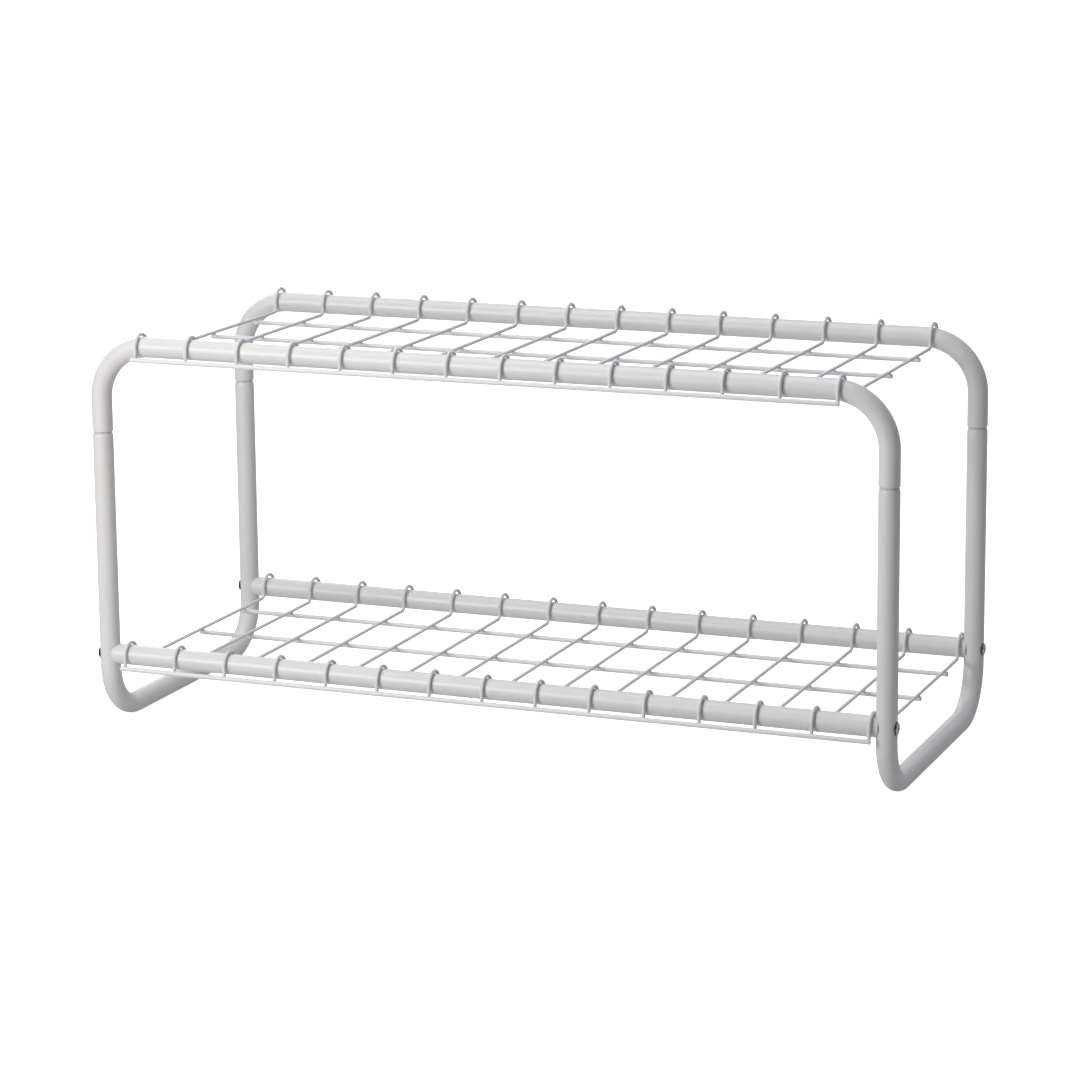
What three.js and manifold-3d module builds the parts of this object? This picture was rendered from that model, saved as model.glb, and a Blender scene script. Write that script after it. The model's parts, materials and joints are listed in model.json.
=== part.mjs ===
// A two-tier shoe rack: two U-shaped side frames and two top arches of round steel tube, two lower bars
// screwed between the legs, and two welded wire shelves that hook over the tubes and lift off.
// Millimetres, +X along the rack, +Y to the back, +Z up. The origin is on the floor under the middle.
import * as THREE from "three";
import { mergeVertices } from "three/addons/utils/BufferGeometryUtils.js";
import Module from "manifold-3d";

const wasm = await Module();
wasm.setup();

// The tube frame.
const TUBE_R = 9.5;
const TUBE_WALL = 1.2;
const TUBE_SIDES = 16;
const TUBE_BEND_STEPS = 6;
const LEG_SPAN_X = 755; // between the leg axes, along the rack
const LEG_SPAN_Y = 288; // between the leg axes, front to back
const TOP_Z = 360.5; // axis of the top tubes
const LOWER_Z = 68; // axis of the lower bars and of the screws
const ARCH_BEND_R = 50;
const FOOT_BEND_R = 46;

// The push-fit joint between a leg and an arch.
const JOINT_Z = 279;
const JOINT_GAP = 0.4;
const SHOULDER = 5; // length over which the leg tapers below the joint
const SHOULDER_KNEE = [0.4, 3]; // inset and height of the point where the shoulder turns inwards
const NECK_R = 8;
const NECK_WALL = 1;
const NECK_LENGTH = 28;
const NECK_LAP = 2; // how far the neck's solid reaches into the leg's, so that they join

// The lower bars: saddle-cut ends, each with a tapped insert, and one screw through each leg.
const SADDLE_R = 13;
const FIT_GAP = 0.3;
const INSERT_R = 7.9;
const INSERT_LENGTH = 14;
const INSERT_SETBACK = 1.5; // from the bottom of the saddle to the insert's face
const SCREW_R = 3;
const SCREW_LENGTH = 30;
const SCREW_HOLE_R = 3.4;
const SCREW_CHAMFER = 0.8;
const HEAD_R = 5.8;
const HEAD_HEIGHT = 2.2;
const HEAD_RIM = 1; // height of the head's straight edge
const HEAD_CROWN = [1.2, 0.3]; // inset and drop of the point between the rim and the crown's middle
const SEAT_R = 6.4; // round flat pressed into the leg under the screw head
const SEAT_DEPTH = 1.1;
const RECESS_LENGTH = 6;
const RECESS_WIDTH = 1.1;
const RECESS_DEPTH = 1.4;
const SCREW_SIDES = 12;
const SEAT_SIDES = 20;
const SADDLE_SIDES = 40;
const CUTTER_LENGTH = 4 * TUBE_R; // long enough to pass right through a tube

// The wire shelves.
const CROSS_R = 1.65;
const LONG_R = 2.2;
const CROSS_SIDES = 6;
const LONG_SIDES = 8;
const WIRE_PITCH = 51.5;
const UPPER_WIRES = 14;
const LOWER_WIRES = 15;
const LOWER_SHIFT = 4.5; // the lower shelf is slid this far towards +X between the legs
const HOOK_R = 11.8; // bend radius of a hook over its tube, on the wire's axis
const HOOK_STEPS = 3;
const REAR_LIFT = 1.2; // how far the centre of a rear hook stands above its tube's axis
const DECK_DROP = 8.6; // from a tube's axis down to the axes of the cross wires
const STRINGER_DROP = 9.8; // from a tube's axis down to a stringer's axis
const CORNER_R = 4;
const CORNER_STEPS = 2;
const HOOK_TAIL = 1.2; // how far a hook's free end passes the stringer's axis
const MID_WIRE_Y = 90;
const OVERHANG = 2.5; // long wires past the outermost cross wires
const WELD_GAP = 0.15;

const coat = new THREE.MeshStandardMaterial({ color: 0xe3e1de, roughness: 0.35, metalness: 0 });
const wireCoat = new THREE.MeshStandardMaterial({ color: 0xe6e5e3, roughness: 0.4, metalness: 0 });
const zinc = new THREE.MeshStandardMaterial({ color: 0xb9bcc0, roughness: 0.28, metalness: 1 });
const steel = new THREE.MeshStandardMaterial({ color: 0x8d9095, roughness: 0.45, metalness: 1 });

// A route of straight runs and round bends, given by its stations: one section of the sweep stands at each.
class BentPath extends THREE.Curve {
  constructor(stations) {
    super();
    this.stations = stations;
  }
  get steps() {
    return this.stations.length - 1;
  }
  station(u) {
    return this.stations[Math.round(u * this.steps)];
  }
  getPointAt(u, target = new THREE.Vector3()) {
    return target.copy(this.station(u).point);
  }
  getTangentAt(u, target = new THREE.Vector3()) {
    return target.copy(this.station(u).tangent);
  }
}

// The path through corner points, each inner corner rounded: a corner is { at: Vector3, radius, steps }.
function bentPath(corners) {
  const stations = [];
  const add = (point, tangent) => {
    const last = stations.at(-1);
    if (!last || last.point.distanceTo(point) > 1e-6) stations.push({ point, tangent });
  };
  corners.forEach((corner, i) => {
    const before = corners[i - 1];
    const after = corners[i + 1];
    const into = before && corner.at.clone().sub(before.at).normalize();
    const out = after && after.at.clone().sub(corner.at).normalize();
    if (!before || !after) {
      add(corner.at, into ?? out);
      return;
    }
    const turn = into.angleTo(out);
    const start = corner.at.clone().addScaledVector(into, -corner.radius * Math.tan(turn / 2));
    const inward = out.clone().addScaledVector(into, -out.dot(into)).normalize();
    const centre = start.clone().addScaledVector(inward, corner.radius);
    for (let k = 0; k <= corner.steps; k++) {
      const a = (turn * k) / corner.steps;
      const point = centre
        .clone()
        .addScaledVector(inward, -corner.radius * Math.cos(a))
        .addScaledVector(into, corner.radius * Math.sin(a));
      const tangent = into.clone().multiplyScalar(Math.cos(a)).addScaledVector(inward, Math.sin(a));
      add(point, tangent);
    }
  });
  return new BentPath(stations);
}

// Corner points of a regular polygon drawn round a circle, with its flats towards the axes.
function polygon(radius, sides) {
  const reach = radius / Math.cos(Math.PI / sides);
  return Array.from({ length: sides }, (_, k) => {
    const a = ((k + 0.5) * 2 * Math.PI) / sides;
    return new THREE.Vector2(reach * Math.cos(a), reach * Math.sin(a));
  });
}

function sweep(path, radius, sides, innerRadius = 0) {
  const section = new THREE.Shape(polygon(radius, sides));
  if (innerRadius) section.holes.push(new THREE.Path(polygon(innerRadius, sides)));
  return new THREE.ExtrudeGeometry(section, { steps: path.steps, extrudePath: path });
}

// A solid of revolution about +Z from [radius, height] points, on the same polygon as the tubes.
function turned(profile, sides) {
  const scale = 1 / Math.cos(Math.PI / sides);
  const points = profile.map(([r, h]) => new THREE.Vector2(r * scale, h));
  return new THREE.LatheGeometry(points, sides, Math.PI / sides).rotateX(Math.PI / 2);
}

function cylinder(radius, length, sides) {
  return new THREE.CylinderGeometry(radius, radius, length, sides);
}

function solid(geometry) {
  const bare = geometry.clone().deleteAttribute("normal").deleteAttribute("uv");
  const merged = mergeVertices(bare, 1e-4);
  return new wasm.Manifold(
    new wasm.Mesh({
      numProp: 3,
      vertProperties: merged.attributes.position.array,
      triVerts: new Uint32Array(merged.index.array),
    }),
  );
}

function geometryOf(made) {
  const { vertProperties, triVerts } = made.getMesh();
  const geometry = new THREE.BufferGeometry();
  geometry.setAttribute("position", new THREE.BufferAttribute(vertProperties, 3));
  geometry.setIndex(new THREE.BufferAttribute(triVerts, 1));
  geometry.computeVertexNormals();
  return geometry;
}

const rack = new THREE.Group();

function addPart(parent, name, geometry, material, x = 0, y = 0, z = 0) {
  const mesh = new THREE.Mesh(geometry, material);
  mesh.name = name;
  mesh.position.set(x, y, z);
  parent.add(mesh);
}

// The swaged top of a leg: a tapered shoulder and a thinner neck that slides into the arch.
function legNeck() {
  const inner = TUBE_R - TUBE_WALL;
  const neckInner = NECK_R - NECK_WALL;
  const [kneeInset, kneeHeight] = SHOULDER_KNEE;
  const profile = [
    [inner, -NECK_LAP],
    [TUBE_R, -NECK_LAP],
    [TUBE_R, 0],
    [TUBE_R - kneeInset, kneeHeight],
    [NECK_R, SHOULDER],
    [NECK_R, SHOULDER + NECK_LENGTH],
    [neckInner, SHOULDER + NECK_LENGTH],
    [neckInner, SHOULDER],
    [inner, 0],
    [inner, -NECK_LAP],
  ];
  return turned(profile, TUBE_SIDES);
}

// One U of tube in the Y-Z plane: two legs and the foot between them. outward is -1 for the left side.
function sideFrame(outward) {
  const legTop = JOINT_Z - SHOULDER;
  const half = LEG_SPAN_Y / 2;
  const bend = { radius: FOOT_BEND_R, steps: TUBE_BEND_STEPS };
  const path = bentPath([
    { at: new THREE.Vector3(0, -half, legTop) },
    { at: new THREE.Vector3(0, -half, TUBE_R), ...bend },
    { at: new THREE.Vector3(0, half, TUBE_R), ...bend },
    { at: new THREE.Vector3(0, half, legTop) },
  ]);
  let frame = solid(sweep(path, TUBE_R, TUBE_SIDES, TUBE_R - TUBE_WALL));
  for (const y of [-half, half]) {
    const neck = legNeck().translate(0, y, legTop);
    const hole = cylinder(SCREW_HOLE_R, CUTTER_LENGTH, SCREW_SIDES).rotateZ(Math.PI / 2);
    const seat = cylinder(SEAT_R, CUTTER_LENGTH, SEAT_SIDES).rotateZ(Math.PI / 2);
    hole.translate(0, y, LOWER_Z);
    seat.translate(outward * (TUBE_R - SEAT_DEPTH + CUTTER_LENGTH / 2), y, LOWER_Z);
    frame = frame.add(solid(neck)).subtract(solid(hole)).subtract(solid(seat));
  }
  return geometryOf(frame);
}

// One inverted U of tube in the X-Z plane, open at both ends, where the leg necks go in.
function topArch() {
  const half = LEG_SPAN_X / 2;
  const end = JOINT_Z + JOINT_GAP;
  const bend = { radius: ARCH_BEND_R, steps: TUBE_BEND_STEPS };
  const path = bentPath([
    { at: new THREE.Vector3(-half, 0, end) },
    { at: new THREE.Vector3(-half, 0, TOP_Z), ...bend },
    { at: new THREE.Vector3(half, 0, TOP_Z), ...bend },
    { at: new THREE.Vector3(half, 0, end) },
  ]);
  return sweep(path, TUBE_R, TUBE_SIDES, TUBE_R - TUBE_WALL);
}

// Where the bottom of a bar's saddle stands, measured from the rack's middle.
const SADDLE_X = LEG_SPAN_X / 2 - TUBE_R - FIT_GAP;

// A straight tube with a saddle at each end that fits round the leg.
function lowerBar() {
  const reach = LEG_SPAN_X / 2;
  const path = bentPath([
    { at: new THREE.Vector3(-reach, 0, 0) },
    { at: new THREE.Vector3(reach, 0, 0) },
  ]);
  let bar = solid(sweep(path, TUBE_R, TUBE_SIDES, TUBE_R - TUBE_WALL));
  for (const side of [-1, 1]) {
    const saddle = cylinder(SADDLE_R, CUTTER_LENGTH, SADDLE_SIDES).rotateX(Math.PI / 2);
    bar = bar.subtract(solid(saddle.translate(side * (SADDLE_X + SADDLE_R), 0, 0)));
  }
  return geometryOf(bar);
}

// The tapped plug fixed inside a bar's end, its axis along +Z here.
function tappedInsert() {
  const bore = SCREW_R + FIT_GAP;
  const profile = [
    [bore, 0],
    [INSERT_R, 0],
    [INSERT_R, INSERT_LENGTH],
    [bore, INSERT_LENGTH],
    [bore, 0],
  ];
  return turned(profile, SCREW_SIDES);
}

// A pan-head screw with a cross recess. The underside of its head is at the origin and its shank runs down.
function panHeadScrew() {
  const [crownInset, crownDrop] = HEAD_CROWN;
  const profile = [
    [0, -SCREW_LENGTH],
    [SCREW_R - SCREW_CHAMFER, -SCREW_LENGTH],
    [SCREW_R, SCREW_CHAMFER - SCREW_LENGTH],
    [SCREW_R, 0],
    [HEAD_R, 0],
    [HEAD_R, HEAD_RIM],
    [HEAD_R - crownInset, HEAD_HEIGHT - crownDrop],
    [0, HEAD_HEIGHT],
  ];
  let screw = solid(turned(profile, SCREW_SIDES));
  const depth = 2 * RECESS_DEPTH;
  for (const [x, y] of [[RECESS_LENGTH, RECESS_WIDTH], [RECESS_WIDTH, RECESS_LENGTH]]) {
    const slot = new THREE.BoxGeometry(x, y, depth).translate(0, 0, HEAD_HEIGHT);
    screw = screw.subtract(solid(slot));
  }
  return geometryOf(screw);
}

// One bent cross wire in the Y-Z plane through a tube axis at z = 0: a hook over each tube and the deck between.
function crossWire() {
  const tube = LEG_SPAN_Y / 2;
  const deck = -DECK_DROP;
  const tail = -STRINGER_DROP - HOOK_TAIL;
  const over = { radius: HOOK_R, steps: HOOK_STEPS };
  const corner = { radius: CORNER_R, steps: CORNER_STEPS };
  const at = (y, z) => new THREE.Vector3(0, y, z);
  const path = bentPath([
    { at: at(-tube - HOOK_R, tail) },
    { at: at(-tube - HOOK_R, HOOK_R), ...over },
    { at: at(-tube + HOOK_R, HOOK_R), ...over },
    { at: at(-tube + HOOK_R, deck), ...corner },
    { at: at(tube - HOOK_R, deck), ...corner },
    { at: at(tube - HOOK_R, REAR_LIFT + HOOK_R), ...over },
    { at: at(tube + HOOK_R, REAR_LIFT + HOOK_R), ...over },
    { at: at(tube + HOOK_R, tail) },
  ]);
  return sweep(path, CROSS_R, CROSS_SIDES);
}

function longWire(length) {
  const path = bentPath([
    { at: new THREE.Vector3(-length / 2, 0, 0) },
    { at: new THREE.Vector3(length / 2, 0, 0) },
  ]);
  return sweep(path, LONG_R, LONG_SIDES);
}

// One shelf: its cross wires side by side, three long wires under them and a stringer outside each row of hooks.
function addShelf(tier, count) {
  const shelf = new THREE.Group();
  const span = (count - 1) * WIRE_PITCH;
  for (let i = 0; i < count; i++) {
    const number = String(i + 1).padStart(2, "0");
    const x = i * WIRE_PITCH - span / 2;
    addPart(shelf, `${tier}_cross_wire_${number}`, crossWire(), wireCoat, x);
  }
  const length = span + 2 * OVERHANG;
  const underDeck = -DECK_DROP - CROSS_R - LONG_R - WELD_GAP;
  const rows = { front: -1, centre: 0, rear: 1 };
  for (const [row, side] of Object.entries(rows)) {
    addPart(shelf, `${tier}_mid_wire_${row}`, longWire(length), wireCoat, 0, side * MID_WIRE_Y, underDeck);
  }
  const stringerY = LEG_SPAN_Y / 2 + HOOK_R + CROSS_R + LONG_R + WELD_GAP;
  addPart(shelf, `${tier}_front_stringer`, longWire(length), wireCoat, 0, -stringerY, -STRINGER_DROP);
  addPart(shelf, `${tier}_rear_stringer`, longWire(length), wireCoat, 0, stringerY, -STRINGER_DROP);
  rack.add(shelf);
  return shelf;
}

// The screw and the insert at one end of one bar.
function addFastening(end, outward, row, y) {
  const group = new THREE.Group();
  group.position.set(0, y, LOWER_Z);
  const headSeat = LEG_SPAN_X / 2 + TUBE_R - SEAT_DEPTH + FIT_GAP / 2;
  const screw = panHeadScrew().rotateY((outward * Math.PI) / 2);
  addPart(group, `${row}_${end}_screw`, screw, zinc, outward * headSeat);
  const insert = tappedInsert().rotateY((-outward * Math.PI) / 2);
  addPart(group, `${row}_${end}_insert`, insert, steel, outward * (SADDLE_X - INSERT_SETBACK));
  rack.add(group);
}

const halfX = LEG_SPAN_X / 2;
const halfY = LEG_SPAN_Y / 2;
addPart(rack, "left_side_frame", sideFrame(-1), coat, -halfX);
addPart(rack, "right_side_frame", sideFrame(1), coat, halfX);
for (const [row, y] of [["front", -halfY], ["rear", halfY]]) {
  addPart(rack, `${row}_top_arch`, topArch(), coat, 0, y);
  addPart(rack, `${row}_lower_bar`, lowerBar(), coat, 0, y, LOWER_Z);
  addFastening("left", -1, row, y);
  addFastening("right", 1, row, y);
}
addShelf("upper", UPPER_WIRES).position.set(0, 0, TOP_Z);
addShelf("lower", LOWER_WIRES).position.set(LOWER_SHIFT, 0, LOWER_Z);

export default rack;
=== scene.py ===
import json
import math

import bmesh
import bpy
from mathutils import Matrix, Vector, noise

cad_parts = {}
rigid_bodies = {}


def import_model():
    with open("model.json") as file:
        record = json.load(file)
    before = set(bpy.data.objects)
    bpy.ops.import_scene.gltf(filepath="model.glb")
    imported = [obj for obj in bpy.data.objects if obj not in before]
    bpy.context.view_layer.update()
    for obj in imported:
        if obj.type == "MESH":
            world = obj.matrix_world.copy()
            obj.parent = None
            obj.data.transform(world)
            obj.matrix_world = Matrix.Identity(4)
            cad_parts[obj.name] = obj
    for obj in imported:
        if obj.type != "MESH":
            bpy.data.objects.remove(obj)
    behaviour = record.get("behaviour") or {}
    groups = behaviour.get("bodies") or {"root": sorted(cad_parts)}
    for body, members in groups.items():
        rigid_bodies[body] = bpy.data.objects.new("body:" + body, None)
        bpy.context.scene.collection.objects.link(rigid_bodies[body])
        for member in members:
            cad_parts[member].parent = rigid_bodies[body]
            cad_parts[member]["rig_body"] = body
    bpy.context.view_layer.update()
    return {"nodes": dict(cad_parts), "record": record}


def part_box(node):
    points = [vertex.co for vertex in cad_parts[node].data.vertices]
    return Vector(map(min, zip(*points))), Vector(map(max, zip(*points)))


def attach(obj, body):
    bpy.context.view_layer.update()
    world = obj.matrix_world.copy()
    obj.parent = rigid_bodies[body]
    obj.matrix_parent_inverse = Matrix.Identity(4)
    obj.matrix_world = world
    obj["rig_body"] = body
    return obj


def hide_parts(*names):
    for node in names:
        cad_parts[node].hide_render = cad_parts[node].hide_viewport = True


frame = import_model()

MM = 0.001
TINY = 1e-7  # points closer than this are the same point
NEAR = 1e-6  # a mark this close to a station gets no station of its own

# Sizes of the real rack. Whatever a CAD node's box can give is read from the box instead.
TUBE_WALL = 1.2 * MM
ARCH_BEND_R = 50 * MM
FOOT_BEND_R = 46 * MM
SHOULDER = 5 * MM
SHOULDER_POWER = 2.2  # how fast the neck's shoulder curves out to the full tube
NECK_R = 8 * MM
NECK_WALL = 1 * MM
NECK_LENGTH = 28 * MM
SADDLE_GAP = 0.05 * MM
SADDLE_TIP_Y = 7.8 * MM
SADDLE_BACK = 4 * MM  # how far behind a bar's cut edge its first full ring lies
FIT_GAP = 0.3 * MM
SEAT_R = 6.4 * MM
SEAT_DEPTH = 1.1 * MM
SEAT_SLOPE = 1.2  # rise over run round the flat pressed in under a screw head
SCREW_R = 3 * MM
SCREW_TIP = 0.8 * MM
THREAD_DEPTH = 0.35 * MM
THREAD_PITCH = 1 * MM
HEAD_HEIGHT = 2.2 * MM
RECESS_LENGTH = 6 * MM
RECESS_WIDTH = 1.1 * MM
RECESS_DEPTH = 1.4 * MM
INSERT_R = 7.9 * MM
INSERT_CHAMFER = 0.5 * MM
HOOK_R = 11.8 * MM
CORNER_R = 4 * MM
CROSS_R = 1.65 * MM
LONG_R = 2.2 * MM
WELD_GAP = 0.15 * MM
DECK_BEAD = (1.45 * MM, 1.55 * MM, 0.95 * MM)
STRINGER_BEAD = (1.5 * MM, 0.95 * MM, 1.55 * MM)

# The radii of the rounded edges, and how far the coat is worn in from each kind of edge.
NECK_EDGE = 0.4 * MM
ARCH_EDGE = 0.7 * MM
BAR_EDGE = 0.2 * MM
WIRE_EDGE = 0.35 * MM
END_WEAR = 1.2 * MM
RIM_WEAR = 2 * MM
SEAT_WEAR = 1.2 * MM
FLOOR_WEAR = 0.8 * MM
# At the bars' cut ends this also sets how far the painted shade on the bare steel reaches.
CUT_WEAR_AND_SHADE = 0.6 * MM

# A screw head's outline from its rim to its crown, as (share of its radius, share of its height).
DOME = [
    (1, 0.06), (1, 0.42), (0.985, 0.55), (0.94, 0.69),
    (0.86, 0.82), (0.72, 0.92), (0.5, 0.98), (0.25, 1),
]

# How finely things are drawn.
TUBE_SIDES = 56
WIRE_SIDES = 16
ROUND_SIDES = 48
BEND_STEPS = 30
HOOK_STEPS = 14
CORNER_STEPS = 8
SHOULDER_STEPS = 10
SEAT_STEP = 0.5 * MM
SEAT_STEPS = 18

X, Y, Z = Vector((1, 0, 0)), Vector((0, 1, 0)), Vector((0, 0, 1))
AIM = Vector((0, 0, 0.2))  # where the lights point


# Paths, rings and sweeps.

def bent_path(corners):
    """Stations (point, tangent) along corners (point, bend radius, steps), straight in between."""
    out = []
    for i, (at, radius, steps) in enumerate(corners):
        into = (at - corners[i - 1][0]).normalized() if i else None
        leave = (corners[i + 1][0] - at).normalized() if i + 1 < len(corners) else None
        if into is None or leave is None:
            out.append((at, into or leave))
            continue
        turn = into.angle(leave)
        start = at - into * (radius * math.tan(turn / 2))
        inward = (leave - into * leave.dot(into)).normalized()
        centre = start + inward * radius
        for k in range(steps + 1):
            a = turn * k / steps
            point = centre - inward * (radius * math.cos(a)) + into * (radius * math.sin(a))
            if (out[-1][0] - point).length > TINY:
                out.append((point, into * math.cos(a) + inward * math.sin(a)))
    return out


def measured(stations, marks):
    """Stations (point, tangent, distance from the nearer end), with extra ones at the marks."""
    runs = [0.0]
    for a, b in zip(stations, stations[1:]):
        runs.append(runs[-1] + (b[0] - a[0]).length)
    total = runs[-1]
    wanted = sorted({*marks, *(total - m for m in marks)})
    out = []
    for (a, b), start, end in zip(zip(stations, stations[1:]), runs, runs[1:]):
        out.append((*a, min(start, total - start)))
        for run in wanted:
            if start + NEAR < run < end - NEAR:
                point = a[0].lerp(b[0], (run - start) / (end - start))
                out.append((point, a[1], min(run, total - run)))
    out.append((*stations[-1], 0.0))
    return out


def ring(bm, point, tangent, side, radius, sides):
    up = tangent.cross(side)
    turns = (2 * math.pi * k / sides for k in range(sides))
    return [bm.verts.new(point + (side * math.cos(a) + up * math.sin(a)) * radius) for a in turns]


def bridge(bm, rings):
    for a, b in zip(rings, rings[1:]):
        for k in range(len(a)):
            n = (k + 1) % len(a)
            bm.faces.new((a[k], a[n], b[n], b[k]))


def edge_round(fillet):
    """(distance in from an end, inset of the radius) down a rounded edge, outermost first."""
    turns = [math.radians(a) for a in (0, 30, 60, 90)]
    return [(fillet * (1 - math.cos(a)), fillet * (1 - math.sin(a))) for a in turns]


def inset_at(edge, distance):
    """How far a rounded edge is inside the full radius at a distance from the end."""
    return next((inset for d, inset in edge if distance <= d + TINY), 0)


def skin(bm, stations, side, radius_at, sides):
    """A surface swept along stations (point, tangent, distance), without a twist at the bends."""
    rings = []
    for point, tangent, distance in stations:
        side = (side - tangent * side.dot(tangent)).normalized()
        rings.append(ring(bm, point, tangent, side, radius_at(distance), sides))
    bridge(bm, rings)
    return rings


def tube(bm, stations, side, outer_at, inner_at):
    """A hollow tube; its inside, which the coat doesn't reach, takes the second material: dark steel,
    partly bare metal and partly painted shade.
    """
    outside = skin(bm, stations, side, outer_at, TUBE_SIDES)
    coated = len(bm.faces)
    inside = skin(bm, stations, side, inner_at, TUBE_SIDES)
    for face in list(bm.faces)[coated:]:
        face.material_index = 1
    for end in (0, -1):
        bridge(bm, [outside[end], inside[end]])


def wire(bm, stations, side, radius):
    """A solid wire with a rounded edge at its cut ends."""
    edge = edge_round(WIRE_EDGE)

    def radius_at(distance):
        return radius - inset_at(edge, distance)

    marks = [END_WEAR, *(d for d, _ in edge[1:])]
    rings = skin(bm, measured(stations, marks), side, radius_at, WIRE_SIDES)
    bm.faces.new(rings[0])
    bm.faces.new(rings[-1])


def lathe(bm, profile):
    """A surface turned about Z from (radius, height) points."""
    rings = [ring(bm, Z * h, Z, X, r, ROUND_SIDES) for r, h in profile]
    bridge(bm, rings)
    return rings


def bead(bm, at, reach):
    """A weld bead: a small uneven lump in the crevice between two crossing wires."""
    lump = bmesh.ops.create_icosphere(bm, subdivisions=2, radius=1)
    for v in lump["verts"]:
        uneven = 1 + 0.12 * noise.noise(v.co * 1.7 + at / MM)
        v.co = at + Vector(c * r for c, r in zip(v.co, reach)) * uneven


def object_of(bm, name, wear=None, sharp=45):
    """The mesh as a smooth-shaded object, with a mask per point in an attribute of its own: coat wear
    on the coated parts, painted shade where the bare steel uses it.
    """
    bmesh.ops.recalc_face_normals(bm, faces=bm.faces)
    mesh = bpy.data.meshes.new(name)
    bm.to_mesh(mesh)
    bm.free()
    mesh.polygons.foreach_set("use_smooth", [True] * len(mesh.polygons))
    mesh.set_sharp_from_angle(angle=math.radians(sharp))
    wear_and_shade_fac = mesh.attributes.new("wear", "FLOAT", "POINT")
    wear_and_shade_fac.data.foreach_set("value", [wear(v.co) if wear else 0.0 for v in mesh.vertices])
    made = bpy.data.objects.new(name, mesh)
    bpy.context.scene.collection.objects.link(made)
    return made


def fade(distance, reach):
    """1 at no distance, 0 from reach on."""
    return max(0.0, 1 - distance / reach)


# Where things are, read from the CAD.

def middle(node):
    low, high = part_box(node)
    return (low + high) / 2


FRAME_LOW, FRAME_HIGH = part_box("right_side_frame")
ARCH_LOW, ARCH_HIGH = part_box("front_top_arch")
TUBE_R = (FRAME_HIGH.x - FRAME_LOW.x) / 2
LEG_X = middle("right_side_frame").x
LEG_Y = FRAME_HIGH.y - TUBE_R
JOINT_Z = FRAME_HIGH.z - NECK_LENGTH
TOP_Z = ARCH_HIGH.z - TUBE_R
LOWER_Z = middle("front_lower_bar").z
INNER_R = TUBE_R - TUBE_WALL


# The tubes.

def side_frame(name):
    """A U of tube with a swaged neck on each leg and a round flat pressed in under each screw head."""
    x = middle(name).x
    outward = math.copysign(1, x)
    top, foot = FRAME_HIGH.z, FRAME_LOW.z + TUBE_R
    corners = [
        (Vector((x, -LEG_Y, top)), 0, 0),
        (Vector((x, -LEG_Y, foot)), FOOT_BEND_R, BEND_STEPS),
        (Vector((x, LEG_Y, foot)), FOOT_BEND_R, BEND_STEPS),
        (Vector((x, LEG_Y, top)), 0, 0),
    ]
    edge = edge_round(NECK_EDGE)
    neck = [NECK_LENGTH + SHOULDER * k / SHOULDER_STEPS for k in range(SHOULDER_STEPS + 1)]
    seat = [top - LOWER_Z + SEAT_STEP * k for k in range(-SEAT_STEPS, SEAT_STEPS + 1)]

    def swage(distance):
        """0 on the neck, 1 on the full tube, and a smooth curve down the shoulder."""
        t = min(max((distance - NECK_LENGTH) / SHOULDER, 0), 1)
        return 1 - (1 - t) ** SHOULDER_POWER

    def outer_at(distance):
        return NECK_R + (TUBE_R - NECK_R) * swage(distance) - inset_at(edge, distance)

    def inner_at(distance):
        neck_inner = NECK_R - NECK_WALL
        return neck_inner + (INNER_R - neck_inner) * swage(distance)

    bm = bmesh.new()
    marks = [d for d, _ in edge[1:]] + neck + seat
    tube(bm, measured(bent_path(corners), marks), X, outer_at, inner_at)

    def off_seat(co):
        return math.hypot(abs(co.y) - LEG_Y, co.z - LOWER_Z) - SEAT_R

    for v in bm.verts:
        flat = TUBE_R - SEAT_DEPTH + max(0.0, off_seat(v.co)) * SEAT_SLOPE
        out = (v.co.x - x) * outward
        if out > flat:
            v.co.x = x + outward * flat

    def wear(co):
        on_seat = fade(abs(off_seat(co)), SEAT_WEAR) if (co.x - x) * outward > TUBE_R / 2 else 0
        on_floor = 0.7 * fade(co.z - FRAME_LOW.z, FLOOR_WEAR)
        return max(fade(abs(co.z - JOINT_Z), RIM_WEAR), on_seat, on_floor)

    return object_of(bm, name, wear)


def top_arch(name):
    """An inverted U of tube with its cut ends rolled slightly inwards."""
    y = middle(name).y
    low = ARCH_LOW.z
    corners = [
        (Vector((-LEG_X, y, low)), 0, 0),
        (Vector((-LEG_X, y, TOP_Z)), ARCH_BEND_R, BEND_STEPS),
        (Vector((LEG_X, y, TOP_Z)), ARCH_BEND_R, BEND_STEPS),
        (Vector((LEG_X, y, low)), 0, 0),
    ]
    edge = edge_round(ARCH_EDGE)

    def outer_at(distance):
        return TUBE_R - inset_at(edge, distance)

    bm = bmesh.new()
    marks = [RIM_WEAR, *(d for d, _ in edge[1:])]
    tube(bm, measured(bent_path(corners), marks), Y, outer_at, lambda distance: INNER_R)
    return object_of(bm, name, lambda co: fade(co.z - low, RIM_WEAR))


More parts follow.
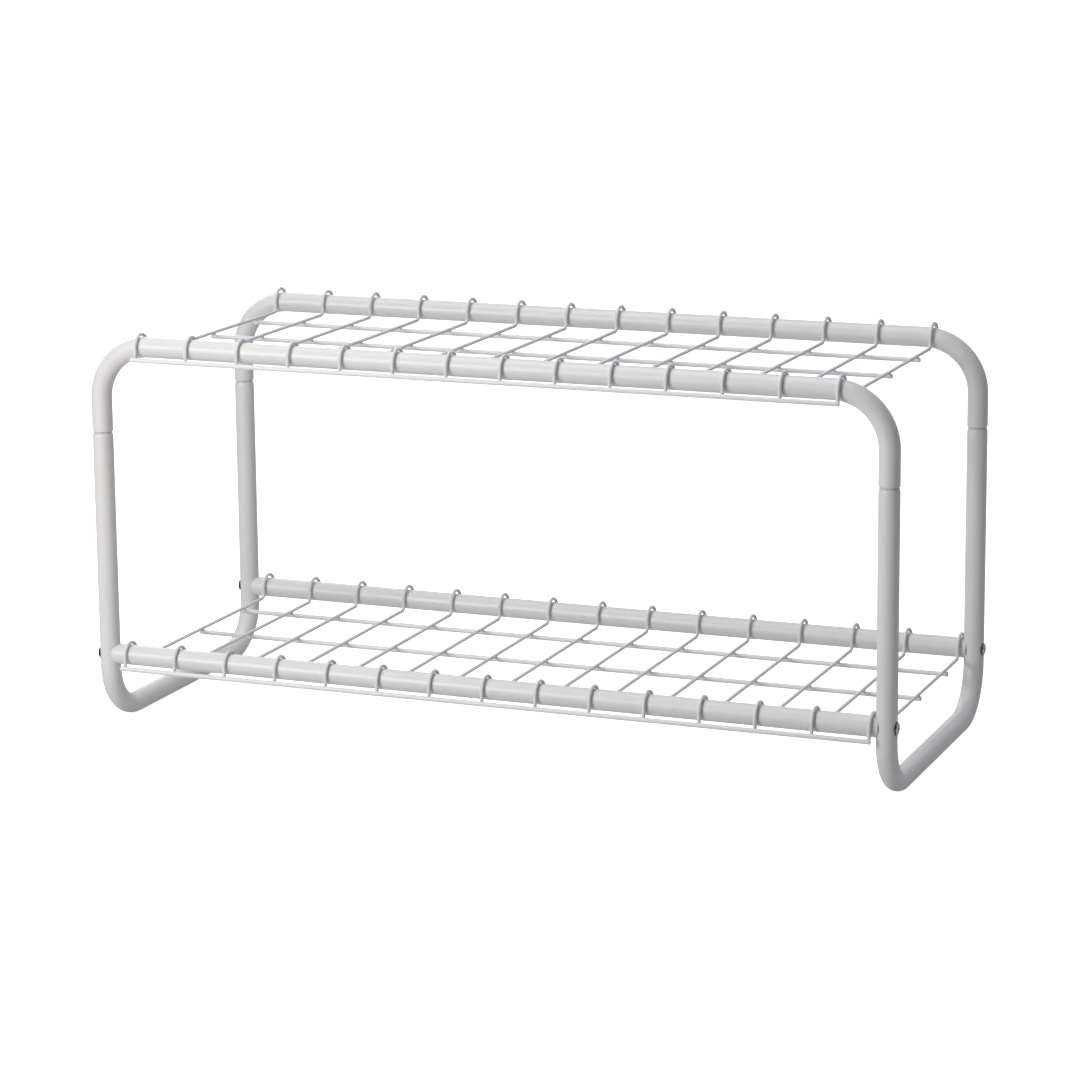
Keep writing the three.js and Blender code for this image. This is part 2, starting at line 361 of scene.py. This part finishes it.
def lower_bar(name):
    """A straight tube with its ends cut to fit round the legs, and no coat on the cuts or inside: these
    take dark steel, partly bare metal and partly painted shade for the dark slit beside each leg.
    """
    at = middle(name)
    edge = edge_round(BAR_EDGE)

    def cut(y):
        """Where the end stops: close round the leg, and straight across beside the tips."""
        return LEG_X - math.sqrt((TUBE_R + SADDLE_GAP) ** 2 - min(abs(y), SADDLE_TIP_Y) ** 2)

    def saddle_ring(bm, end, radius, back):
        turns = (2 * math.pi * k / TUBE_SIDES for k in range(TUBE_SIDES))
        rim = [(radius * math.cos(a), radius * math.sin(a)) for a in turns]
        return [bm.verts.new((end * (cut(y) - back), at.y + y, at.z + z)) for y, z in rim]

    bm = bmesh.new()
    outsides, insides = {}, {}
    for end in (-1, 1):
        outer = [*edge, (SADDLE_BACK, 0)]
        outsides[end] = [saddle_ring(bm, end, TUBE_R - inset, d) for d, inset in outer]
        insides[end] = [saddle_ring(bm, end, INNER_R, d) for d in (0, SADDLE_BACK)]
    bridge(bm, [*outsides[-1], *reversed(outsides[1])])
    # Painted shade: the cut faces and the inside are dark steel, which darkens the slit where the bar
    # meets the leg.
    coated = len(bm.faces)
    bridge(bm, [outsides[-1][0], *insides[-1], *reversed(insides[1]), outsides[1][0]])
    for face in list(bm.faces)[coated:]:
        face.material_index = 1
    # The mask near the cut: worn coat chips on the outside, and painted shade, near black, on the cut
    # faces and inside.
    return object_of(bm, name, lambda co: fade(cut(co.y - at.y) - abs(co.x), CUT_WEAR_AND_SHADE))


# The fastenings. Each is turned about its own Z, which points out of the leg, and then put in place.

def outwards(name):
    """The matrix that stands a fastening's Z along the rack, pointing away from its middle."""
    return Matrix.Rotation(math.copysign(math.pi / 2, middle(name).x), 4, "Y")


def cross_cutter():
    """Two crossed slots that narrow towards their floor."""
    corners = ((1, 1), (-1, 1), (-1, -1), (1, -1))
    heights_and_shares = ((HEAD_HEIGHT - RECESS_DEPTH, 0.62), (HEAD_HEIGHT + 1 * MM, 1.12))
    bm = bmesh.new()
    for along, across in ((RECESS_LENGTH, RECESS_WIDTH), (RECESS_WIDTH, RECESS_LENGTH)):
        rims = []
        for z, share in heights_and_shares:
            half_x, half_y = along / 2 * share, across / 2 * share
            rims.append([bm.verts.new((half_x * a, half_y * b, z)) for a, b in corners])
        bridge(bm, rims)
        bm.faces.new(rims[0])
        bm.faces.new(rims[1])
    return object_of(bm, "cross_cutter")


def cut_by(made, cutter):
    """made's mesh with cutter's taken out of it; cutter is then removed."""
    boolean = made.modifiers.new("cut", "BOOLEAN")
    boolean.object = cutter
    boolean.solver = "EXACT"
    boolean.use_self = True
    whole = bpy.context.evaluated_depsgraph_get()
    mesh = bpy.data.meshes.new_from_object(made.evaluated_get(whole))
    made.modifiers.clear()
    made.data = mesh
    mesh.polygons.foreach_set("use_smooth", [True] * len(mesh.polygons))
    mesh.set_sharp_from_angle(angle=math.radians(30))
    bpy.data.objects.remove(cutter)


def thread(radius, start, end):
    """(radius, height) points down a thread from start to end."""
    count = int(abs(end - start) / THREAD_PITCH * 2)
    step = (end - start) / count
    return [(radius - THREAD_DEPTH * (k % 2), start + step * k) for k in range(count + 1)]


def screw(name):
    """A pan-head screw with a cross recess, the underside of its head at Z 0 and painted shade round
    the foot of its head.
    """
    low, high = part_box(name)
    head_r = (high.z - low.z) / 2
    shank = (high.x - low.x) - HEAD_HEIGHT
    profile = [(SCREW_R - SCREW_TIP, -shank), *reversed(thread(SCREW_R, -2 * MM, -shank + 1 * MM))]
    profile += [(SCREW_R, -1 * MM), (SCREW_R, 0), (head_r - 0.2 * MM, 0)]
    profile += [(head_r * r, HEAD_HEIGHT * h) for r, h in DOME]
    bm = bmesh.new()
    rings = lathe(bm, profile)
    bm.faces.new(rings[0])
    bm.faces.new(rings[-1])
    # Painted shade: the mask is 1 on the shank and the head's lower side wall and fades out by twice
    # this height, so the steel is painted near black where the head stands on the leg.
    rim = 0.35 * HEAD_HEIGHT
    made = object_of(bm, name, lambda co: fade(co.z - rim, rim))
    cut_by(made, cross_cutter())
    seat_x = math.copysign(max(abs(low.x), abs(high.x)) - HEAD_HEIGHT, low.x)
    made.matrix_world = Matrix.Translation((seat_x, middle(name).y, middle(name).z)) @ outwards(name)
    return made


def insert(name):
    """The tapped plug in a bar's end, its outer face at Z 0."""
    low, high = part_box(name)
    length = high.x - low.x
    bore = SCREW_R + FIT_GAP + THREAD_DEPTH
    profile = [
        (bore + INSERT_CHAMFER, 0),
        (INSERT_R - INSERT_CHAMFER, 0),
        (INSERT_R, -INSERT_CHAMFER),
        (INSERT_R, INSERT_CHAMFER - length),
        (INSERT_R - INSERT_CHAMFER, -length),
        (bore + INSERT_CHAMFER, -length),
        *thread(bore, INSERT_CHAMFER - length, -INSERT_CHAMFER),
        (bore + INSERT_CHAMFER, 0),
    ]
    bm = bmesh.new()
    lathe(bm, profile)
    bmesh.ops.remove_doubles(bm, verts=bm.verts, dist=TINY)
    made = object_of(bm, name, sharp=30)
    face_x = math.copysign(max(abs(low.x), abs(high.x)), low.x)
    made.matrix_world = Matrix.Translation((face_x, middle(name).y, middle(name).z)) @ outwards(name)
    return made


# The shelves.

def cross_wire(name):
    """A wire bent over both tubes, with the weld beads where the long wires cross it."""
    tier = name.split("_")[0]
    x = middle(name).x
    tube_z = {"upper": TOP_Z, "lower": LOWER_Z}[tier]
    low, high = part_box(name)
    deck = middle(f"{tier}_mid_wire_centre").z + LONG_R + CROSS_R + WELD_GAP
    stringer = middle(f"{tier}_front_stringer")
    rear_lift = high.z - CROSS_R - HOOK_R - tube_z

    def corner(y, z, radius=0, steps=0):
        return Vector((x, y, z)), radius, steps

    corners = [
        corner(-LEG_Y - HOOK_R, low.z),
        corner(-LEG_Y - HOOK_R, tube_z + HOOK_R, HOOK_R, HOOK_STEPS),
        corner(-LEG_Y + HOOK_R, tube_z + HOOK_R, HOOK_R, HOOK_STEPS),
        corner(-LEG_Y + HOOK_R, deck, CORNER_R, CORNER_STEPS),
        corner(LEG_Y - HOOK_R, deck, CORNER_R, CORNER_STEPS),
        corner(LEG_Y - HOOK_R, tube_z + rear_lift + HOOK_R, HOOK_R, HOOK_STEPS),
        corner(LEG_Y + HOOK_R, tube_z + rear_lift + HOOK_R, HOOK_R, HOOK_STEPS),
        corner(LEG_Y + HOOK_R, low.z),
    ]
    bm = bmesh.new()
    wire(bm, bent_path(corners), X, CROSS_R)
    for row in ("front", "centre", "rear"):
        y = middle(f"{tier}_mid_wire_{row}").y
        bead(bm, Vector((x, y, deck - CROSS_R - WELD_GAP / 2)), DECK_BEAD)
    for side in (-1, 1):
        y = side * (LEG_Y + HOOK_R + CROSS_R + WELD_GAP / 2)
        bead(bm, Vector((x, y, stringer.z)), STRINGER_BEAD)
    return object_of(bm, name, lambda co: 0.8 * fade(co.z - low.z, END_WEAR))


def long_wire(name):
    low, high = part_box(name)
    at = middle(name)
    ends = [(Vector((x, at.y, at.z)), X) for x in (low.x, high.x)]
    bm = bmesh.new()
    wire(bm, ends, Y, LONG_R)
    return object_of(bm, name, lambda co: fade(min(co.x - low.x, high.x - co.x), END_WEAR))


# Materials.

def nodes_of(name, **constants):
    """A material with a Principled shader, its constants set, and a maker of further nodes."""
    material = bpy.data.materials.new(name)
    material.use_nodes = True
    tree = material.node_tree
    shader = tree.nodes["Principled BSDF"]
    for socket, value in constants.items():
        shader.inputs[socket.replace("_", " ")].default_value = value

    def add(kind, inputs=(), **settings):
        node = tree.nodes.new(kind)
        for key, value in settings.items():
            setattr(node, key, value)
        for socket, value in dict(inputs).items():
            if isinstance(value, bpy.types.NodeSocket):
                tree.links.new(value, node.inputs[socket])
            else:
                node.inputs[socket].default_value = value
        return node

    return material, shader, add, tree.links.new


def mapped(add, value, low, high, start=0.3, end=0.7):
    """value from start..end spread smoothly over low..high."""
    inputs = {"Value": value, "From Min": start, "From Max": end, "To Min": low, "To Max": high}
    return add("ShaderNodeMapRange", inputs, interpolation_type="SMOOTHSTEP").outputs["Result"]


def powder_coat(name, colour, worn_colour, peel, rough):
    """Baked powder coat: faint orange peel, uneven gloss and tone, and thin spots at worn edges.

    The roughness stays at 0.28 or more: the denoiser draws a line wherever it crosses 0.274.
    """
    material, shader, add, link = nodes_of(name, IOR=1.42)
    at = add("ShaderNodeTexCoord").outputs["Object"]
    cloud = add("ShaderNodeTexNoise", {"Vector": at, "Scale": 14, "Detail": 3}).outputs["Fac"]
    skin_noise = add("ShaderNodeTexNoise", {"Vector": at, "Scale": peel, "Detail": 1.5}).outputs["Fac"]
    grain = add("ShaderNodeTexNoise", {"Vector": at, "Scale": 5200, "Detail": 2}).outputs["Fac"]
    chips = add("ShaderNodeTexNoise", {"Vector": at, "Scale": 900, "Detail": 4}).outputs["Fac"]
    wear_and_shade_fac = add("ShaderNodeAttribute", attribute_name="wear").outputs["Fac"]
    chipped = mapped(add, chips, 0, 1, 0.42, 0.62)
    spots = add("ShaderNodeMath", {0: wear_and_shade_fac, 1: chipped}, operation="MULTIPLY").outputs[0]

    tone = add("ShaderNodeMix", {"Factor": mapped(add, cloud, 0, 1, 0.2, 0.8)}, data_type="RGBA")
    tone.inputs["A"].default_value = (*(c * 0.985 for c in colour), 1)
    tone.inputs["B"].default_value = (*colour, 1)
    bare = mapped(add, spots, 0, 0.55, 0, 1)
    worn_tone = add("ShaderNodeMix", {"Factor": bare}, data_type="RGBA")
    link(tone.outputs["Result"], worn_tone.inputs["A"])
    worn_tone.inputs["B"].default_value = (*worn_colour, 1)
    link(worn_tone.outputs["Result"], shader.inputs["Base Color"])

    gloss = mapped(add, cloud, rough - 0.02, rough + 0.03, 0.2, 0.8)
    duller = mapped(add, spots, 0, 0.25, 0, 1)
    rougher = add("ShaderNodeMath", {0: gloss, 1: duller}, operation="ADD").outputs[0]
    link(rougher, shader.inputs["Roughness"])

    fine = {"Height": grain, "Strength": 0.5, "Distance": 0.0004 * MM}
    waves = {"Height": skin_noise, "Strength": 0.5, "Distance": 0.004 * MM}
    waves["Normal"] = add("ShaderNodeBump", fine).outputs["Normal"]
    link(add("ShaderNodeBump", waves).outputs["Normal"], shader.inputs["Normal"])
    return material


def plated_steel(name, colour, rough, streaks):
    """Bare or zinc-plated steel: turning marks round the axis, blotchy gloss, and painted shade, near
    black, where the point attribute's mask is high.
    """
    material, shader, add, link = nodes_of(name, Metallic=1.0)
    at = add("ShaderNodeTexCoord").outputs["Object"]
    xyz = add("ShaderNodeSeparateXYZ", {0: at}).outputs
    flat = add("ShaderNodeCombineXYZ", {0: xyz[0], 1: xyz[1]}).outputs[0]
    radius = add("ShaderNodeVectorMath", {0: flat}, operation="LENGTH").outputs["Value"]
    turned = add("ShaderNodeCombineXYZ", {0: radius, 2: xyz[2]}).outputs[0]
    marks = add("ShaderNodeTexNoise", {"Vector": turned, "Scale": streaks, "Detail": 3}).outputs["Fac"]
    blotch = add("ShaderNodeTexNoise", {"Vector": at, "Scale": 700, "Detail": 3}).outputs["Fac"]
    tone = add("ShaderNodeMix", {"Factor": mapped(add, blotch, 0, 1)}, data_type="RGBA")
    tone.inputs["A"].default_value = (*(c * 0.82 for c in colour), 1)
    tone.inputs["B"].default_value = (*colour, 1)
    # Painted shade: where the mask is high the steel is painted near black (0.05), for the shade round
    # the foot of each screw head and on the bars' cut faces beside the legs.
    wear_and_shade_fac = add("ShaderNodeAttribute", attribute_name="wear").outputs["Fac"]
    painted_shade = add("ShaderNodeMix", {"Factor": mapped(add, wear_and_shade_fac, 0, 1, 0, 1)}, data_type="RGBA")
    link(tone.outputs["Result"], painted_shade.inputs["A"])
    painted_shade.inputs["B"].default_value = (0.05, 0.05, 0.05, 1)
    link(painted_shade.outputs["Result"], shader.inputs["Base Color"])
    link(mapped(add, blotch, rough - 0.06, rough + 0.1), shader.inputs["Roughness"])
    bump = {"Height": marks, "Strength": 0.3, "Distance": 0.03 * MM}
    link(add("ShaderNodeBump", bump).outputs["Normal"], shader.inputs["Normal"])
    return material


MATERIALS = {
    "frame_coat": powder_coat("frame_coat", (0.675, 0.672, 0.667), (0.44, 0.435, 0.43), 420, 0.3),
    "wire_coat": powder_coat("wire_coat", (0.685, 0.69, 0.707), (0.46, 0.46, 0.465), 620, 0.31),
    "zinc_screw": plated_steel("zinc_screw", (0.5, 0.51, 0.53), 0.17, 2600),
    # Dark: partly the bare steel's own tone, partly painted shade for the shaded tube insides and cut
    # faces.
    "plain_steel": plated_steel("plain_steel", (0.20, 0.19, 0.185), 0.45, 2200),
}


# Every CAD node gets a smooth piece of its own.

MAKERS = {
    "side_frame": side_frame,
    "top_arch": top_arch,
    "lower_bar": lower_bar,
    "screw": screw,
    "insert": insert,
    "cross_wire": cross_wire,
    "mid_wire": long_wire,
    "stringer": long_wire,
}
SLOTS = {part["node"]: part["material_slot"] for part in frame["record"]["subparts"]}

for node, cad in sorted(frame["nodes"].items()):
    make = next(maker for kind, maker in MAKERS.items() if kind in node)
    piece = make(node)
    piece.name = piece.data.name = f"{node}_smooth"
    piece.data.materials.clear()
    piece.data.materials.append(MATERIALS[SLOTS[node]])
    if any(face.material_index for face in piece.data.polygons):
        piece.data.materials.append(MATERIALS["plain_steel"])
    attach(piece, cad["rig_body"])
    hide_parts(node)


# The studio: a white floor, soft light from the front left and above, and the camera.

def shader_by_ray(tree, seen, unseen, output):
    """What the camera sees directly, and what lights the rack, as one output."""
    camera_ray = tree.nodes.new("ShaderNodeLightPath").outputs["Is Camera Ray"]
    mix = tree.nodes.new("ShaderNodeMixShader")
    tree.links.new(camera_ray, mix.inputs["Fac"])
    tree.links.new(unseen, mix.inputs[1])
    tree.links.new(seen, mix.inputs[2])
    out = tree.nodes.new(output)
    tree.links.new(mix.outputs[0], out.inputs["Surface"])


def floor():
    """White where the camera sees it, with the rack's soft shadow, but giving back less light."""
    bm = bmesh.new()
    bmesh.ops.create_circle(bm, cap_ends=True, segments=96, radius=30)
    made = object_of(bm, "floor")
    material, _, add, _ = nodes_of("floor")
    tree = material.node_tree
    tree.nodes.clear()
    white = add("ShaderNodeBsdfDiffuse", {"Color": (0.85, 0.85, 0.85, 1)}).outputs[0]
    lift = add("ShaderNodeEmission", {"Strength": 0.86}).outputs[0]
    pale = add("ShaderNodeBsdfDiffuse", {"Color": (0.45, 0.45, 0.45, 1)}).outputs[0]
    glow = add("ShaderNodeEmission", {"Strength": 0.15}).outputs[0]
    seen = add("ShaderNodeAddShader", {0: white, 1: lift}).outputs[0]
    unseen = add("ShaderNodeAddShader", {0: pale, 1: glow}).outputs[0]
    shader_by_ray(tree, seen, unseen, "ShaderNodeOutputMaterial")
    made.data.materials.append(material)


def sky():
    """Soft light from all round, most of it from behind the rack, and a white background."""
    world = bpy.data.worlds.new("studio")
    bpy.context.scene.world = world
    world.use_nodes = True
    tree = world.node_tree
    tree.nodes.clear()
    towards = tree.nodes.new("ShaderNodeVectorMath")
    towards.operation = "DOT_PRODUCT"
    towards.inputs[1].default_value = Vector((0.25, 0.92, 0.3)).normalized()
    tree.links.new(tree.nodes.new("ShaderNodeTexCoord").outputs["Generated"], towards.inputs[0])
    strength = tree.nodes.new("ShaderNodeMapRange")
    strength.interpolation_type = "SMOOTHSTEP"
    tree.links.new(towards.outputs["Value"], strength.inputs["Value"])
    for socket, value in {"From Min": -0.3, "From Max": 1, "To Min": 0.06, "To Max": 0.5}.items():
        strength.inputs[socket].default_value = value
    soft = tree.nodes.new("ShaderNodeBackground")
    soft.inputs["Color"].default_value = (0.93, 0.94, 1.0, 1)
    tree.links.new(strength.outputs["Result"], soft.inputs["Strength"])
    white = tree.nodes.new("ShaderNodeBackground")
    white.inputs["Color"].default_value = (1, 1, 1, 1)
    shader_by_ray(tree, white.outputs[0], soft.outputs[0], "ShaderNodeOutputWorld")


def softbox(name, place, size, power, colour, aim=AIM):
    light = bpy.data.lights.new(name, "AREA")
    light.shape = "RECTANGLE"
    light.size, light.size_y = size
    light.energy = power
    light.color = colour
    made = bpy.data.objects.new(name, light)
    made.location = place
    made.rotation_euler = (aim - Vector(place)).to_track_quat("-Z", "Y").to_euler()
    made.visible_camera = False
    bpy.context.scene.collection.objects.link(made)


def camera():
    """At the photograph's angle: in front, to the right and slightly above, through a long lens."""
    data = bpy.data.cameras.new("camera")
    data.sensor_width = 36
    data.lens = 114.6
    data.shift_x = -0.0556
    data.shift_y = -0.0741
    data.clip_end = 100
    made = bpy.data.objects.new("camera", data)
    turn = Matrix.Rotation(math.radians(21.11), 4, "Z")
    tip = Matrix.Rotation(math.radians(90 - 11.37), 4, "X")
    roll = Matrix.Rotation(math.radians(-0.34), 4, "Z")
    made.matrix_world = Matrix.Translation((1.1753, -2.8907, 0.8770)) @ turn @ tip @ roll
    bpy.context.scene.collection.objects.link(made)
    bpy.context.scene.camera = made


floor()
sky()
softbox("key", (-1.4, -2.5, 1.0), (0.9, 0.9), 31, (0.87, 0.92, 1.0))
softbox("near_low", (-0.4, -1.1, 0.4), (0.8, 0.6), 3.3, (1.0, 0.93, 0.87), Vector((-0.3, 0, 0.2)))
softbox("near_high", (-0.46, -1.1, 1.0), (0.8, 0.8), 2, (1.0, 0.92, 0.7))
softbox("top", (-0.3, -0.2, 2.3), (2.0, 1.6), 28.4, (1.0, 0.985, 1.0))
softbox("back", (0, 2.8, 1.2), (2.0, 1.6), 10, (0.71, 0.79, 1.0))
softbox("left_back", (-1.8, 1.8, 1.4), (1.4, 1.4), 14.3, (1.0, 0.913, 0.779))
camera()
bpy.context.scene.view_settings.view_transform = "Standard"
